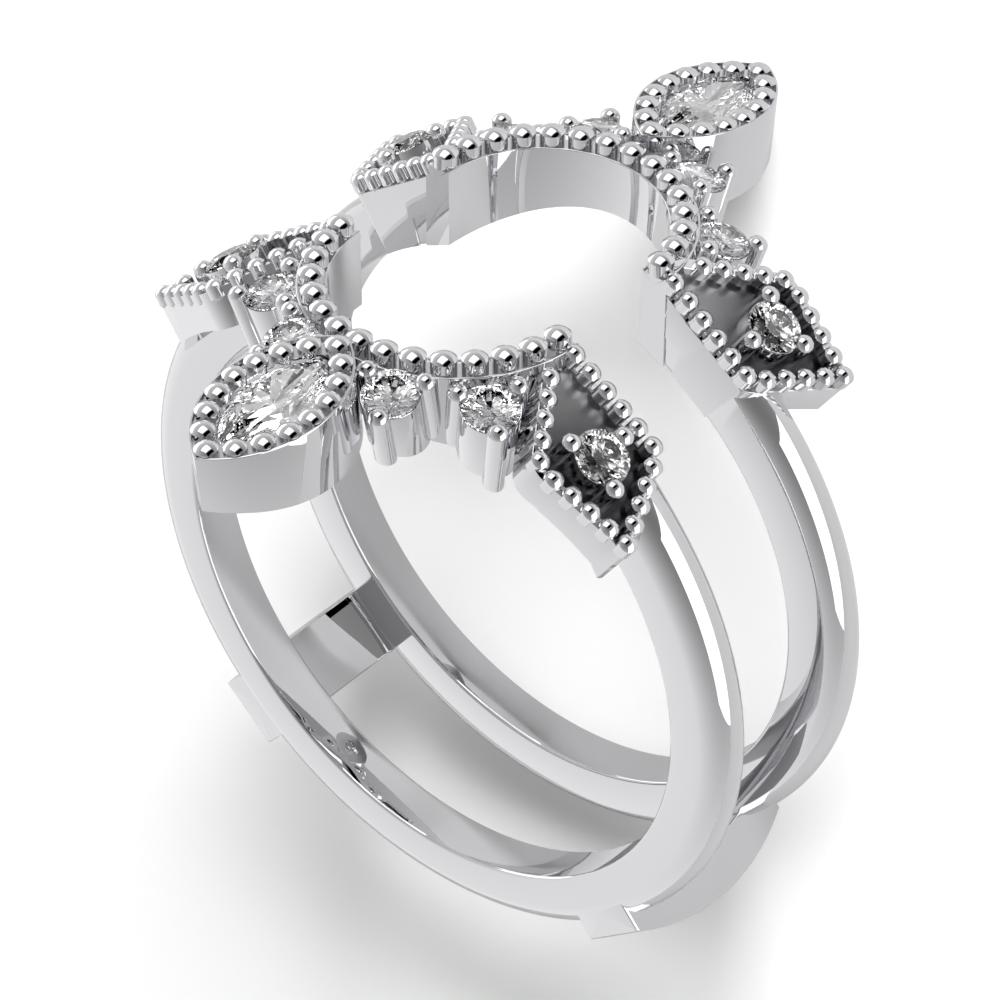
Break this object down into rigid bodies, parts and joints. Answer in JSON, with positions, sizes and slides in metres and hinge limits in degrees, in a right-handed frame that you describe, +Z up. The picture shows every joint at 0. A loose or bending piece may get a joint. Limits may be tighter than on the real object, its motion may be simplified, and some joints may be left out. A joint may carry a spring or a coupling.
{
  "type": "ring guard",
  "caption": "Finger ring made of two bands with an open jewelled head between them that frames the stone of another ring.",
  "frame": {"origin": "centre of the bounding box's base, on the table that the ring lies on", "axes": "+X across the ring, from the left bands to the right bands; +Y from the bottom of the bands towards the jewelled head; +Z up from the table. The ring rests on the back end of its head and the outer edge of its back band, so its finger axis leans 23.6 degrees from vertical in the YZ plane."},
  "size_m": [0.0208, 0.0248, 0.0216],
  "materials": {
    "white_gold": "polished rhodium-plated white gold",
    "diamond": "cut and polished colourless stone"
  },
  "bodies": {
    "root": {"ring_body": "white_gold", "marquise_stone_front": "diamond", "marquise_stone_back": "diamond", "round_stone_front_1": "diamond", "round_stone_front_2": "diamond", "round_stone_front_3": "diamond", "round_stone_front_4": "diamond", "round_stone_front_5": "diamond", "round_stone_front_6": "diamond", "round_stone_back_1": "diamond", "round_stone_back_2": "diamond", "round_stone_back_3": "diamond", "round_stone_back_4": "diamond", "round_stone_back_5": "diamond", "round_stone_back_6": "diamond"}
  },
  "joints": []
}
